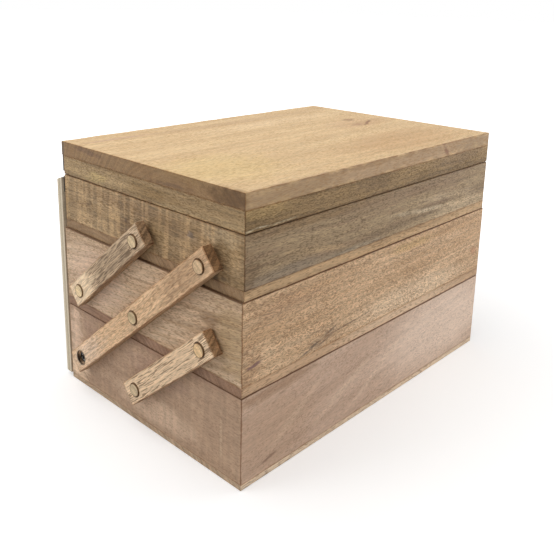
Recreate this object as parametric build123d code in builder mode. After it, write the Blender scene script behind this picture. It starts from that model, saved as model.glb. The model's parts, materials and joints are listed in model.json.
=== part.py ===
"""Cantilever sewing box.

A base box carries two trays on three parallel arms at each end. The arms lean from the back of each
tier to the front of the next one up, so the trays swing up and back together and land as a staircase.
The top tray has a hinged lid, and a thin board on its back that serves as a rear leg when it is open.

X runs along the box, -Y is its front, +Y its back, and Z = 0 is the table. Sizes are in millimetres.
"""

import math
import os

from build123d import *

os.makedirs("parts", exist_ok=True)

# --- Driving sizes -------------------------------------------------------------------------------

# Boxes
box_length = 300.0
box_depth = 202.0
wall_thickness = 10.0
base_bottom_thickness = 4.0
base_wall_height = 62.5
tray_bottom_thickness = 6.5
middle_wall_height = 57.4
top_wall_height = 35.6
lid_rim_height = 14.7
lid_board_thickness = 11.0
top_inset = 1.5  # the top tray and lid stop this far short of the base at each end

# Arms and their pivots
arm_width = 18.0
arm_thickness = 7.5
arm_end_margin = 11.8  # wood beyond the last pivot
arm_edge_radius = 0.7
arm_lean = 50.7  # degrees from upright
lower_arm_spacing = 71.5  # from the long arm forwards to the lower arm, along Y
lower_arm_rise = 2.0  # from the long arm up to the lower arm, at one tier
upper_arm_spacing = 69.0  # from the long arm back to the upper arm, along Y
upper_arm_drop = 1.2  # from the long arm down to the upper arm, at one tier
back_pivot_inset = 28.5  # from the back of the base to the long arm's lowest pivot
base_pivot_height = 31.5
middle_pivot_height = 22.9  # above the underside of the middle tray
top_pivot_height = 16.9  # above the underside of the top tray

# Pivot screws, washers and plugs
pivot_shank_radius = 2.0
pivot_head_radius = 4.3
pivot_head_height = 2.2
pivot_grip = 9.0  # screw in the wood of the wall
pivot_tip_length = 2.5
washer_radius = 6.0
washer_thickness = 1.0
plug_radius = 4.85
plug_rise = 0.8  # of a plug above the arm's face
bore_floor = 2.9  # wood under the screw's head
bore_mouth_radius = 5.4
bore_mouth_depth = 1.5

# Rear support board
board_thickness = 6.5
board_bevel = 2.4  # fall of its top edge, from front to back
board_foot_height = 3.0  # above the table
board_screw_count = 5
board_screw_margin = 30.0  # from the board's ends
board_shank_radius = 1.7
board_head_radius = 3.6
board_head_height = 2.2
board_grip = 8.0

# Lid hinge
leaf_thickness = 2.2
leaf_height = 14.8  # from the pin to the leaf's free edge
barrel_radius = 2.0
hinge_pin_radius = 1.0
knuckle_count = 25
hinge_end_margin = 0.5
barrel_inset = 5.0  # from the leaf's ends to the first and last knuckles
leaf_screw_count = 7
leaf_screw_offset = 8.5  # from the pin
leaf_screw_margin = 18.0  # from the hinge's ends
leaf_shank_radius = 1.2
leaf_head_radius = 2.3
leaf_grip = 7.0

# Clearances
tier_gap = 0.6
running_clearance = 0.05  # a shaft in its hole
seat_clearance = 0.05  # between faces that turn on each other
plug_clearance = 0.25  # between a plug and the screw's head
barrel_clearance = 0.1  # between the hinge barrel and the wood
knuckle_clearance = 0.2
board_clearance = 0.8  # between the support board and the hinge barrel
leaf_clearance = 2.4  # between the hinge leaf and the washers behind the support board

# --- Derived sizes -------------------------------------------------------------------------------

base_top = base_bottom_thickness + base_wall_height
middle_bottom = base_top + tier_gap
middle_top = middle_bottom + tray_bottom_thickness + middle_wall_height
top_bottom = middle_top + tier_gap
top_top = top_bottom + tray_bottom_thickness + top_wall_height
lid_bottom = top_top + tier_gap
lid_rim_top = lid_bottom + lid_rim_height
back_face = box_depth / 2
base_end = box_length / 2
top_length = box_length - 2 * top_inset
top_end = top_length / 2

# Pivot places as (Y, Z): the long arm runs through all three tiers, with a short arm above and below it
lower_rise = middle_bottom + middle_pivot_height - base_pivot_height
upper_rise = top_bottom + top_pivot_height - middle_bottom - middle_pivot_height
lower_spread = lower_rise * math.tan(math.radians(arm_lean))
upper_spread = upper_rise * math.tan(math.radians(arm_lean))
long_base_pivot = (back_face - back_pivot_inset, base_pivot_height)
long_middle_pivot = (long_base_pivot[0] - lower_spread, long_base_pivot[1] + lower_rise)
long_top_pivot = (long_middle_pivot[0] - upper_spread, long_middle_pivot[1] + upper_rise)
lower_base_pivot = (long_base_pivot[0] - lower_arm_spacing, long_base_pivot[1] + lower_arm_rise)
lower_middle_pivot = (long_middle_pivot[0] - lower_arm_spacing, long_middle_pivot[1] + lower_arm_rise)
upper_middle_pivot = (long_middle_pivot[0] + upper_arm_spacing, long_middle_pivot[1] - upper_arm_drop)
upper_top_pivot = (long_top_pivot[0] + upper_arm_spacing, long_top_pivot[1] - upper_arm_drop)
base_pivots = (long_base_pivot, lower_base_pivot)
middle_pivots = (long_middle_pivot, lower_middle_pivot, upper_middle_pivot)
top_pivots = (long_top_pivot, upper_top_pivot)

# Distances from the middle of the box, outwards along X
arm_inner = base_end + washer_thickness + seat_clearance
arm_outer = arm_inner + arm_thickness
plug_outer = arm_outer + plug_rise
pivot_head_seat = arm_inner + bore_floor + seat_clearance
bore_depth = arm_thickness - bore_floor
plug_thickness = bore_depth - seat_clearance - pivot_head_height - plug_clearance + plug_rise

hinge_y = back_face + barrel_radius + barrel_clearance
hinge_z = (top_top + lid_bottom) / 2
hinge_length = top_length - 2 * hinge_end_margin
barrel_length = hinge_length - 2 * barrel_inset
knuckle_pitch = barrel_length / knuckle_count
knuckle_length = knuckle_pitch - knuckle_clearance
leaf_start = barrel_radius + knuckle_clearance
board_front = back_face + leaf_thickness
board_back = board_front + board_thickness
board_top = hinge_z - barrel_radius - board_clearance
board_screw_z = hinge_z - leaf_height - leaf_clearance - washer_radius

SIDES = {"left": -1, "right": 1}
UPWARDS = (Align.CENTER, Align.CENTER, Align.MIN)


def spaced(count, length, margin):
    """Places along X, evenly spread between two margins."""
    step = (length - 2 * margin) / (count - 1)
    return [margin - length / 2 + step * i for i in range(count)]


leaf_screw_places = spaced(leaf_screw_count, hinge_length, leaf_screw_margin)
board_screw_places = spaced(board_screw_count, box_length, board_screw_margin)


# --- Shapes that repeat --------------------------------------------------------------------------


def save(part, name):
    """Labels a finished piece and writes its STEP file."""
    part.label = name
    export_step(part, f"parts/{name}.step")


def drill(origin, direction, radius, depth):
    """A round hole from origin along direction, in the part being built."""
    with Locations(Plane(origin=origin, z_dir=direction)):
        Cylinder(radius, depth, align=UPWARDS, mode=Mode.SUBTRACT)


def countersink(origin, direction, head_radius, shank_radius, depth):
    """A conical seat from origin along direction, in the part being built."""
    with Locations(Plane(origin=origin, z_dir=direction)):
        Cone(head_radius, shank_radius, depth, align=UPWARDS, mode=Mode.SUBTRACT)


def long_wall(side, length, bottom, height, screw_z=None, screw_places=(), screw_radius=0, grip=0):
    """Front (side -1) or back (side +1) wall of a mitred frame, with holes for screws from outside."""
    outer = side * box_depth / 2
    inner = outer - side * wall_thickness
    with BuildPart() as wall:
        with BuildSketch(Plane.XY.offset(bottom)):
            with BuildLine():
                Polyline(
                    (-length / 2, outer),
                    (length / 2, outer),
                    (length / 2 - wall_thickness, inner),
                    (wall_thickness - length / 2, inner),
                    close=True,
                )
            make_face()
        extrude(amount=height)
        for x in screw_places:
            drill((x, outer, screw_z), (0, -side, 0), screw_radius + running_clearance, grip)
    return wall


def end_wall(side, length, bottom, height, pivots=()):
    """Left (side -1) or right (side +1) wall of a mitred frame, with holes for its pivot screws."""
    outer = side * length / 2
    inner = outer - side * wall_thickness
    with BuildPart() as wall:
        with BuildSketch(Plane.XY.offset(bottom)):
            with BuildLine():
                Polyline(
                    (outer, -box_depth / 2),
                    (outer, box_depth / 2),
                    (inner, box_depth / 2 - wall_thickness),
                    (inner, wall_thickness - box_depth / 2),
                    close=True,
                )
            make_face()
        extrude(amount=height)
        for y, z in pivots:
            hole_radius = pivot_shank_radius + running_clearance
            drill((outer, y, z), (-side, 0, 0), hole_radius, pivot_grip + running_clearance)
    return wall


def panel(length, bottom, thickness, overhang=0):
    """A flat board that covers the whole footprint of a frame, and may overhang its back."""
    with BuildPart() as board:
        with BuildSketch(Plane.XY.offset(bottom)):
            with Locations((0, overhang / 2)):
                Rectangle(length, box_depth + overhang)
        extrude(amount=thickness)
    return board


def arm(side, pivots):
    """A square-cut bar along a line of pivots, with a counterbored hole at each."""
    first, last = pivots[0], pivots[-1]
    centre = ((first[0] + last[0]) / 2, (first[1] + last[1]) / 2)
    length = math.dist(first, last) + 2 * arm_end_margin
    with BuildPart() as bar:
        with BuildSketch(Plane.YZ.offset(side * arm_inner)):
            with Locations(centre):
                Rectangle(length, arm_width, rotation=90 + arm_lean)
        extrude(amount=side * arm_thickness)
        fillet(bar.edges(), radius=arm_edge_radius)
        for y, z in pivots:
            face = (side * arm_outer, y, z)
            drill(face, (-side, 0, 0), pivot_shank_radius + running_clearance, arm_thickness)
            drill(face, (-side, 0, 0), plug_radius + running_clearance, bore_depth)
            drill(face, (-side, 0, 0), bore_mouth_radius, bore_mouth_depth)
    return bar


def plugs(side, pivots):
    """Wooden plugs that fill an arm's counterbores and stand a little proud of its outer face."""
    with BuildPart() as set_of_plugs:
        for y, z in pivots:
            with Locations(Plane(origin=(side * plug_outer, y, z), z_dir=(-side, 0, 0))):
                Cylinder(plug_radius, plug_thickness, align=UPWARDS)
    return set_of_plugs


def pivot_screws(pivots, wall_face):
    """Screws that hold the arms to one tier, at both ends."""
    shank_length = pivot_head_seat - wall_face + pivot_grip - pivot_tip_length
    with BuildPart() as screws:
        for side in SIDES.values():
            for y, z in pivots:
                inwards = (-side, 0, 0)
                with Locations(Plane(origin=(side * pivot_head_seat, y, z), z_dir=(side, 0, 0))):
                    Cylinder(pivot_head_radius, pivot_head_height, align=UPWARDS)
                with Locations(Plane(origin=(side * pivot_head_seat, y, z), z_dir=inwards)):
                    Cylinder(pivot_shank_radius, shank_length, align=UPWARDS)
                tip = side * (pivot_head_seat - shank_length)
                with Locations(Plane(origin=(tip, y, z), z_dir=inwards)):
                    Cone(pivot_shank_radius, pivot_shank_radius / 4, pivot_tip_length, align=UPWARDS)
                cross_recess((side * (pivot_head_seat + pivot_head_height), y, z), inwards, pivot_head_radius)
    return screws


def cross_recess(origin, direction, head_radius):
    """A cross slot for the driver in a screw's head, in the part being built."""
    arm_of_cross = head_radius * 1.1
    slot = head_radius * 0.26
    depth = head_radius * 0.3
    with Locations(Plane(origin=origin, z_dir=direction)):
        Box(arm_of_cross, slot, depth, align=UPWARDS, mode=Mode.SUBTRACT)
        Box(slot, arm_of_cross, depth, align=UPWARDS, mode=Mode.SUBTRACT)


def washers(pivots, wall_face):
    """Spacers between the arms and one tier, at both ends."""
    thickness = base_end + washer_thickness - wall_face
    with BuildPart() as rings:
        for side in SIDES.values():
            for y, z in pivots:
                with Locations(Plane(origin=(side * wall_face, y, z), z_dir=(side, 0, 0))):
                    Cylinder(washer_radius, thickness, align=UPWARDS)
                drill(
                    (side * wall_face, y, z),
                    (side, 0, 0),
                    pivot_shank_radius + running_clearance,
                    thickness,
                )
    return rings


def countersunk_screws(places, face_y, z, head_radius, head_height, shank_radius, length):
    """A row of wood screws driven forwards from the plane Y = face_y, heads flush with it."""
    with BuildPart() as screws:
        for x in places:
            with Locations(Plane(origin=(x, face_y, z), z_dir=(0, -1, 0))):
                Cone(head_radius, shank_radius, head_height, align=UPWARDS)
            with Locations(Plane(origin=(x, face_y - head_height, z), z_dir=(0, -1, 0))):
                Cylinder(shank_radius, length - head_height, align=UPWARDS)
            cross_recess((x, face_y, z), (0, -1, 0), head_radius)
    return screws


def hinge_leaf(upwards, first_knuckle):
    """One leaf of the piano hinge with every second knuckle; upwards is +1 for the lid's leaf.

    The leaves run nearly from end to end, and the knuckles stop short of that.
    """
    leaf_middle_y = back_face + leaf_thickness / 2
    plate_height = leaf_height - leaf_start
    with BuildPart() as leaf:
        plate_z = hinge_z + upwards * (leaf_start + plate_height / 2)
        with Locations((0, leaf_middle_y, plate_z)):
            Box(hinge_length, leaf_thickness, plate_height)
        for i in range(first_knuckle, knuckle_count, 2):
            x = knuckle_pitch * (i + 0.5) - barrel_length / 2
            with Locations((x, leaf_middle_y, hinge_z + upwards * leaf_start / 2)):
                Box(knuckle_length, leaf_thickness, leaf_start)
            with Locations((x, hinge_y, hinge_z)):
                Cylinder(barrel_radius, knuckle_length, rotation=(0, 90, 0))
        pin_hole_radius = hinge_pin_radius + running_clearance
        drill((-barrel_length / 2, hinge_y, hinge_z), (1, 0, 0), pin_hole_radius, barrel_length)
        for x in leaf_screw_places:
            countersink(
                (x, board_front, hinge_z + upwards * leaf_screw_offset),
                (0, -1, 0),
                leaf_head_radius + running_clearance,
                leaf_shank_radius + running_clearance,
                leaf_thickness,
            )
    return leaf


# --- Base ----------------------------------------------------------------------------------------

base_bottom_panel = panel(box_length, 0, base_bottom_thickness)
save(base_bottom_panel.part, "base_bottom_panel")

base_front_wall = long_wall(-1, box_length, base_bottom_thickness, base_wall_height)
save(base_front_wall.part, "base_front_wall")

base_back_wall = long_wall(1, box_length, base_bottom_thickness, base_wall_height)
save(base_back_wall.part, "base_back_wall")

for name, side in SIDES.items():
    base_end_wall = end_wall(side, box_length, base_bottom_thickness, base_wall_height, base_pivots)
    save(base_end_wall.part, f"base_{name}_wall")

base_pivot_screws = pivot_screws(base_pivots, base_end)
save(base_pivot_screws.part, "base_pivot_screws")

base_pivot_washers = washers(base_pivots, base_end)
save(base_pivot_washers.part, "base_pivot_washers")

# --- Middle tray ---------------------------------------------------------------------------------

middle_wall_bottom = middle_bottom + tray_bottom_thickness

middle_tray_bottom_board = panel(box_length, middle_bottom, tray_bottom_thickness)
save(middle_tray_bottom_board.part, "middle_tray_bottom_board")

middle_tray_front_wall = long_wall(-1, box_length, middle_wall_bottom, middle_wall_height)
save(middle_tray_front_wall.part, "middle_tray_front_wall")

middle_tray_back_wall = long_wall(1, box_length, middle_wall_bottom, middle_wall_height)
save(middle_tray_back_wall.part, "middle_tray_back_wall")

for name, side in SIDES.items():
    middle_end_wall = end_wall(side, box_length, middle_wall_bottom, middle_wall_height, middle_pivots)
    save(middle_end_wall.part, f"middle_tray_{name}_wall")

middle_pivot_screws = pivot_screws(middle_pivots, base_end)
save(middle_pivot_screws.part, "middle_tray_pivot_screws")

middle_pivot_washers = washers(middle_pivots, base_end)
save(middle_pivot_washers.part, "middle_tray_pivot_washers")

# --- Top tray ------------------------------------------------------------------------------------

top_wall_bottom = top_bottom + tray_bottom_thickness

top_tray_bottom_board = panel(top_length, top_bottom, tray_bottom_thickness)
save(top_tray_bottom_board.part, "top_tray_bottom_board")

top_tray_front_wall = long_wall(-1, top_length, top_wall_bottom, top_wall_height)
save(top_tray_front_wall.part, "top_tray_front_wall")

# The back wall takes the hinge's screws near its top and the support board's screws lower down
top_tray_back_wall = long_wall(
    1,
    top_length,
    top_wall_bottom,
    top_wall_height,
    hinge_z - leaf_screw_offset,
    leaf_screw_places,
    leaf_shank_radius,
    leaf_grip + running_clearance,
)
with top_tray_back_wall:
    for x in board_screw_places:
        drill(
            (x, back_face, board_screw_z),
            (0, -1, 0),
            board_shank_radius + running_clearance,
            board_grip + running_clearance,
        )
save(top_tray_back_wall.part, "top_tray_back_wall")

for name, side in SIDES.items():
    top_end_wall = end_wall(side, top_length, top_wall_bottom, top_wall_height, top_pivots)
    save(top_end_wall.part, f"top_tray_{name}_wall")

top_pivot_screws = pivot_screws(top_pivots, top_end)
save(top_pivot_screws.part, "top_tray_pivot_screws")

top_pivot_washers = washers(top_pivots, top_end)
save(top_pivot_washers.part, "top_tray_pivot_washers")

# The board's top edge falls away towards the back, which leaves room for the lid as it opens
with BuildPart() as support_board:
    with BuildSketch(Plane.YZ.offset(-box_length / 2)):
        with BuildLine():
            Polyline(
                (board_front, board_foot_height),
                (board_front, board_top),
                (board_back, board_top - board_bevel),
                (board_back, board_foot_height),
                close=True,
            )
        make_face()
    extrude(amount=box_length)
    for x in board_screw_places:
        face = (x, board_back, board_screw_z)
        drill(face, (0, -1, 0), board_shank_radius + running_clearance, board_thickness)
        countersink(
            face,
            (0, -1, 0),
            board_head_radius + running_clearance,
            board_shank_radius + running_clearance,
            board_head_height,
        )
save(support_board.part, "support_board")

support_board_screws = countersunk_screws(
    board_screw_places,
    board_back,
    board_screw_z,
    board_head_radius,
    board_head_height,
    board_shank_radius,
    board_thickness + leaf_thickness + board_grip,
)
save(support_board_screws.part, "support_board_screws")

with BuildPart() as support_board_washers:
    for x in board_screw_places:
        face = (x, back_face, board_screw_z)
        with Locations(Plane(origin=face, z_dir=(0, 1, 0))):
            Cylinder(washer_radius, leaf_thickness, align=UPWARDS)
        drill(face, (0, 1, 0), board_shank_radius + running_clearance, leaf_thickness)
save(support_board_washers.part, "support_board_washers")

# --- Lid -----------------------------------------------------------------------------------------

# The lid's board reaches over the upper leaf of the hinge
lid_board = panel(top_length, lid_rim_top, lid_board_thickness, leaf_thickness)
save(lid_board.part, "lid_board")

lid_front_rail = long_wall(-1, top_length, lid_bottom, lid_rim_height)
save(lid_front_rail.part, "lid_front_rail")

lid_back_rail = long_wall(
    1,
    top_length,
    lid_bottom,
    lid_rim_height,
    hinge_z + leaf_screw_offset,
    leaf_screw_places,
    leaf_shank_radius,
    leaf_grip + running_clearance,
)
save(lid_back_rail.part, "lid_back_rail")

for name, side in SIDES.items():
    lid_end_rail = end_wall(side, top_length, lid_bottom, lid_rim_height)
    save(lid_end_rail.part, f"lid_{name}_rail")

# --- Lid hinge -----------------------------------------------------------------------------------

hinge_lid_leaf = hinge_leaf(1, 0)
save(hinge_lid_leaf.part, "hinge_lid_leaf")

hinge_tray_leaf = hinge_leaf(-1, 1)
save(hinge_tray_leaf.part, "hinge_tray_leaf")

with BuildPart() as hinge_pin:
    with BuildSketch(Plane.YZ.offset(-barrel_length / 2)):
        with Locations((hinge_y, hinge_z)):
            Circle(hinge_pin_radius)
    extrude(amount=barrel_length)
save(hinge_pin.part, "hinge_pin")

for name, upwards in (("lid", 1), ("tray", -1)):
    leaf_screws = countersunk_screws(
        leaf_screw_places,
        board_front,
        hinge_z + upwards * leaf_screw_offset,
        leaf_head_radius,
        leaf_thickness,
        leaf_shank_radius,
        leaf_thickness + leaf_grip,
    )
    save(leaf_screws.part, f"hinge_{name}_screws")

# --- Arms ----------------------------------------------------------------------------------------

# The long arm's lowest bore stays open, so that its screw can be reached; the others are plugged
ARMS = {
    "long_arm": (long_base_pivot, long_middle_pivot, long_top_pivot),
    "lower_arm": (lower_base_pivot, lower_middle_pivot),
    "upper_arm": (upper_middle_pivot, upper_top_pivot),
}
for side_name, side in SIDES.items():
    for arm_name, pivots in ARMS.items():
        bar = arm(side, pivots)
        save(bar.part, f"{arm_name}_{side_name}")
        plugged = [pivot for pivot in pivots if pivot != long_base_pivot]
        bar_plugs = plugs(side, plugged)
        save(bar_plugs.part, f"{arm_name}_{side_name}_plugs")
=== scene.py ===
import json
import math

import bmesh
import bpy
from mathutils import Euler, Matrix, Vector, noise

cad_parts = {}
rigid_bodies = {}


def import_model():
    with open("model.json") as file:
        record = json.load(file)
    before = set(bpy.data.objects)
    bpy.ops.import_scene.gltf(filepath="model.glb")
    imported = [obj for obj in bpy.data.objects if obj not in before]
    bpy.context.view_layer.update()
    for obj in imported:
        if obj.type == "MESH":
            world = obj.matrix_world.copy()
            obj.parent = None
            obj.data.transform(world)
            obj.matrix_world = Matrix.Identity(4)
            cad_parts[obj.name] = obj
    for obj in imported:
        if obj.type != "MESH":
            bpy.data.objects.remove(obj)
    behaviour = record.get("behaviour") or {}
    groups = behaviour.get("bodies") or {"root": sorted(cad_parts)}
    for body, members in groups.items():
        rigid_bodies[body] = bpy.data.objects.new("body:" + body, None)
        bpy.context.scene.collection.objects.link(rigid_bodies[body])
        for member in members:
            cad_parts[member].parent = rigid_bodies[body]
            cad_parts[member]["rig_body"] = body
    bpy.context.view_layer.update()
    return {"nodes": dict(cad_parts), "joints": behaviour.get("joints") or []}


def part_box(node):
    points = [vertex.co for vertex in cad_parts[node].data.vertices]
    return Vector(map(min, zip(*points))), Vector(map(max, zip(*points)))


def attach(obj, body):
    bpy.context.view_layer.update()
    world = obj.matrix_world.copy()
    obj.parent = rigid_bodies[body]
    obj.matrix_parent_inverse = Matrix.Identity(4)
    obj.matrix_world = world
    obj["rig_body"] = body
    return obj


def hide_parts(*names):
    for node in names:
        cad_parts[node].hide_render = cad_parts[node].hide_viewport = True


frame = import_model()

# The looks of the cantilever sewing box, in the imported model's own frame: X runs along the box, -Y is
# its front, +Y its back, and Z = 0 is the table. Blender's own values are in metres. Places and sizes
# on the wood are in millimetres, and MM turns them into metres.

MM = 0.001
NODES = frame["nodes"]

# --- Places taken from the frame, in mm -------------------------------------------------------------

JOINTS = {joint["name"]: Vector(joint["pos_m"]) / MM for joint in frame["joints"]}
STRIDE = JOINTS["middle_tray_pivot"] - JOINTS["fold"]  # from one pivot of a left arm to the next
ARM_LEAN = math.degrees(math.atan2(-STRIDE.y, STRIDE.z))  # degrees from upright, to the front

# The pivots of each left arm, from its foot up
PIVOTS = {
    "long_arm": (JOINTS["fold"], JOINTS["middle_tray_pivot"], JOINTS["top_tray_pivot"]),
    "lower_arm": (JOINTS["lower_arm_left_pivot"], JOINTS["lower_arm_left_pivot"] + STRIDE),
    "upper_arm": (JOINTS["upper_arm_left_pivot"], JOINTS["upper_arm_left_pivot"] + STRIDE),
}

FRONT_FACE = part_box("base_front_wall")[0].y / MM
LEFT_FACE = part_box("base_left_wall")[0].x / MM
LEFT_ARM_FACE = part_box("long_arm_left")[0].x / MM
LEFT_PLUG_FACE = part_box("long_arm_left_plugs")[0].x / MM
LID_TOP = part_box("lid_board")[1].z / MM
BASE_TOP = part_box("base_front_wall")[1].z / MM
MIDDLE_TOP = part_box("middle_tray_front_wall")[1].z / MM

# --- Driving values, in mm where nothing else is said ------------------------------------------------

ARM_WIDTH = 18.0
TRAY_SAG = 0.4  # of a tray's bottom towards the tier below it

# How far each kind of edge is eased
OPEN_EDGE = 0.8
LID_SEAM_EDGE = 0.45
GLUED_EDGE = 0.14
MITRE_EDGE = 0.3
BOTTOM_END_EDGE = 0.3
PANEL_EDGE = 0.3
LID_EDGE = 0.6
LID_BACK_EDGE = 1.8
LID_END_EDGE = 0.45
SHARPEST_EDGE = 0.05  # what is left where wear is least

ARC_POINTS = 4  # round each eased corner of a board's cross section
WEAR_STEP = 7.0  # between the places where an edge's wear may change
WEAR_LENGTH = 23.0  # over which the wear comes and goes
NICK_WIDTH = 1.2
NICK_REACH = 3.5  # other cross sections stay that far from a nick's middle
NICK_STATIONS = (-3, -1, 0, 1, 3)  # cross sections round a nick's middle

GRAIN_WANDER = 4.0  # of the grain to each side
# Cosines between the grain and a surface's normal where it begins to look cut, and where it fully does
CUT_FACING = (0.75, 0.95)
CUT_PORES = 0.35  # share of the pores' depth that is left on a cut surface
DARK_EDGE = (0.1, 1.1)  # from an edge: as dark as its wear and painted shade get, and plain again
EDGE_UNEVENNESS = 0.36  # to each side, of those two distances

MARK_DEPTH = 8.0  # of a mark into a board
ARM_MARK_DEPTH = 4.0
UNDER_ARM_DEPTH = 4.0  # from an arm's face to the middle of the painted shade on its lower side
SEAM_LIFT = 0.1  # of a seam's line of painted shade over the wall below it
SEAM_REACH = 400  # far past the walls' ends, so that the line is as dark there
END_SEAM_REACH = 300

PLUG_RADIUS = 4.75
PLUG_RING_RADIUS = 5.4
RIM_RADIUS = 6.0  # of the painted shade round a plug or a hole
OPEN_HOLE_RADIUS = 6.9

PHOTO_SIDE = 554  # pixels, both ways
CAMERA_PLACE = Vector((-0.4256, -0.3853, 0.3098))  # m
CAMERA_YAW = 43.14  # degrees from +X towards +Y
CAMERA_PITCH = -14.12  # degrees
CAMERA_ROLL = 1.29  # degrees
FOCAL_LENGTH = 709.7  # pixels
PRINCIPAL_ROW = 177  # pixels from the top of the picture
SENSOR_WIDTH = 36.0

FLOOR_REACH = 12.0  # m, from the middle to each side
FLOOR_DROP = 0.2  # below the box's underside
FLOOR_GLOW = (0.25, 0.8)  # m from the box's middle: shadows in full, and plain white
FLOOR_GLOW_LEVELS = (0.38, 1.0)
SKY_LEVEL = 0.42  # of the light that the surroundings give, where 1 is white

# The lamps: place and aim in m, side in m and power in W
LAMPS = {
    "overhead": ((-0.3, 0.2, 1.5), (0, 0, 0.1), 1.2, 9.5),
    "front_right": ((0.75, -0.6, 0.4), (0.1, 0, 0.1), 0.6, 2.4),
    "left_fill": ((-1.15, 0.62, 0.68), (0, 0, 0.1), 0.65, 3.6),
}

WHITE = (1, 1, 1, 1)

# Turns that bring a piece's grain onto X, in degrees
GRAIN_TURN = {
    "x": (0, 0, 0),
    "y": (0, 0, -90),
    "arm": (90 - ARM_LEAN, 0, 90),
}


def tone(red, green, blue):
    """A colour given in the usual 0 to 255 display values, as the linear one that shaders take."""
    def linear(level):
        level /= 255
        return level / 12.92 if level <= 0.04045 else ((level + 0.055) / 1.055) ** 2.4
    return (linear(red), linear(green), linear(blue), 1.0)


# --- Shader building ---------------------------------------------------------------------------------


class Graph:
    """The nodes of a material or of the world. Most of its methods return an output socket."""

    def __init__(self, owner):
        owner.use_nodes = True
        self.owner = owner
        self.tree = owner.node_tree

    def feed(self, socket, value):
        """Links an output to a socket, or sets its value."""
        if isinstance(value, bpy.types.NodeSocket):
            self.tree.links.new(value, socket)
        else:
            socket.default_value = value

    def add(self, kind, inputs=None, **settings):
        """A new node with these inputs and settings."""
        made = self.tree.nodes.new(kind)
        for key, value in settings.items():
            setattr(made, key, value)
        for key, value in (inputs or {}).items():
            self.feed(made.inputs[key], value)
        return made

    def place(self):
        """Places in the object's own frame, which stays with the wood when the box opens."""
        return self.add("ShaderNodeTexCoord").outputs["Object"]

    def normal(self):
        return self.add("ShaderNodeTexCoord").outputs["Normal"]

    def shown(self):
        """1 for what the camera sees, also in a gloss, and 0 for the light that falls on things."""
        rays = self.add("ShaderNodeLightPath").outputs
        return self.math("MAXIMUM", rays["Is Camera Ray"], rays["Is Glossy Ray"])

    def math(self, operation, a, b=0.0):
        return self.add("ShaderNodeMath", {0: a, 1: b}, operation=operation).outputs[0]

    def add_vectors(self, a, b):
        return self.add("ShaderNodeVectorMath", {0: a, 1: b}, operation="ADD").outputs["Vector"]

    def length(self, vector):
        return self.add("ShaderNodeVectorMath", {0: vector}, operation="LENGTH").outputs["Value"]

    def dot(self, a, b):
        inputs = {0: a, 1: b}
        return self.add("ShaderNodeVectorMath", inputs, operation="DOT_PRODUCT").outputs["Value"]

    def axis(self, vector, name):
        return self.add("ShaderNodeSeparateXYZ", {0: vector}).outputs[name]

    def mapped(self, vector, location=(0, 0, 0), rotation=(0, 0, 0), scale=(1, 1, 1), kind="POINT"):
        inputs = {"Vector": vector, "Location": location, "Rotation": rotation, "Scale": scale}
        return self.add("ShaderNodeMapping", inputs, vector_type=kind).outputs[0]

    def noise(self, vector, detail=2.0, roughness=0.5, output="Fac"):
        inputs = {"Vector": vector, "Scale": 1.0, "Detail": detail, "Roughness": roughness}
        return self.add("ShaderNodeTexNoise", inputs).outputs[output]

    def noise_along(self, value):
        """Noise that changes with one value only."""
        inputs = {"W": value, "Scale": 1.0, "Detail": 2.0}
        return self.add("ShaderNodeTexNoise", inputs, noise_dimensions="1D").outputs["Fac"]

    def span(self, value, low, high, start=0.0, end=1.0):
        """Goes smoothly from start, where value is at most low, to end, where it is at least high."""
        inputs = {"Value": value, "From Min": low, "From Max": high, "To Min": start, "To Max": end}
        return self.add("ShaderNodeMapRange", inputs, interpolation_type="SMOOTHSTEP").outputs[0]

    def swing(self, value, reach, middle=0.0):
        """Turns noise into a value that swings round a middle, by reach to each side."""
        return self.span(value, 0.3, 0.7, middle - reach, middle + reach)

    def mix(self, factor, a, b, blend="MIX"):
        made = self.add("ShaderNodeMix", data_type="RGBA", blend_type=blend)
        for index, value in ((0, factor), (6, a), (7, b)):
            self.feed(made.inputs[index], value)
        return made.outputs[2]

    def tinted(self, colour, tint):
        return self.mix(1.0, colour, tint, "MULTIPLY")

    def shaded(self, colour, shade):
        """A colour made darker or lighter by a factor."""
        grey = self.add("ShaderNodeCombineColor", {0: shade, 1: shade, 2: shade}).outputs[0]
        return self.tinted(colour, grey)

    def bump(self, height, strength, distance):
        inputs = {"Strength": strength, "Distance": distance, "Height": height}
        return self.add("ShaderNodeBump", inputs).outputs[0]

    def finish(self, **inputs):
        """The material, once its shader has these inputs. _ stands for a blank in their names."""
        shader = self.tree.nodes["Principled BSDF"]
        for name, value in inputs.items():
            self.feed(shader.inputs[name.replace("_", " ")], value)
        return self.owner


def material_graph(name):
    return Graph(bpy.data.materials.new(name))


# --- Marks in wood -----------------------------------------------------------------------------------


def mark(place, radii, colour, strength, turn=(0, 0, 0), edge=0.3, ragged=0.3, fills=0.0):
    """A stain, knot, streak or crack in the wood, with its middle, half sizes and turn in degrees.

    edge is where it begins to fade and ragged how uneven its outline is, as shares of its half
    sizes. fills is the share of the wood's pores that it closes.
    """
    return {
        "place": place,
        "radii": radii,
        "colour": colour,
        "strength": strength,
        "turn": turn,
        "edge": edge,
        "ragged": ragged,
        "fills": fills,
    }


def raggedness(length):
    """How uneven a mark of that half length is: long ones are smooth, small stains are not."""
    return min(0.3, 6 / length)


def on_top(x, y, length, width, colour, strength, turn=0, edge=0.3):
    """A mark on the lid's upper face; turn is anticlockwise, seen from above."""
    place = (x, y, LID_TOP)
    radii = (length, width, MARK_DEPTH)
    return mark(place, radii, colour, strength, (0, 0, turn), edge, raggedness(length))


def on_front(x, z, length, height, colour, strength, turn=0, edge=0.3):
    """A mark on the box's front; turn raises its right end."""
    place = (x, FRONT_FACE, z)
    radii = (length, MARK_DEPTH, height)
    return mark(place, radii, colour, strength, (0, -turn, 0), edge, raggedness(length))


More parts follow.
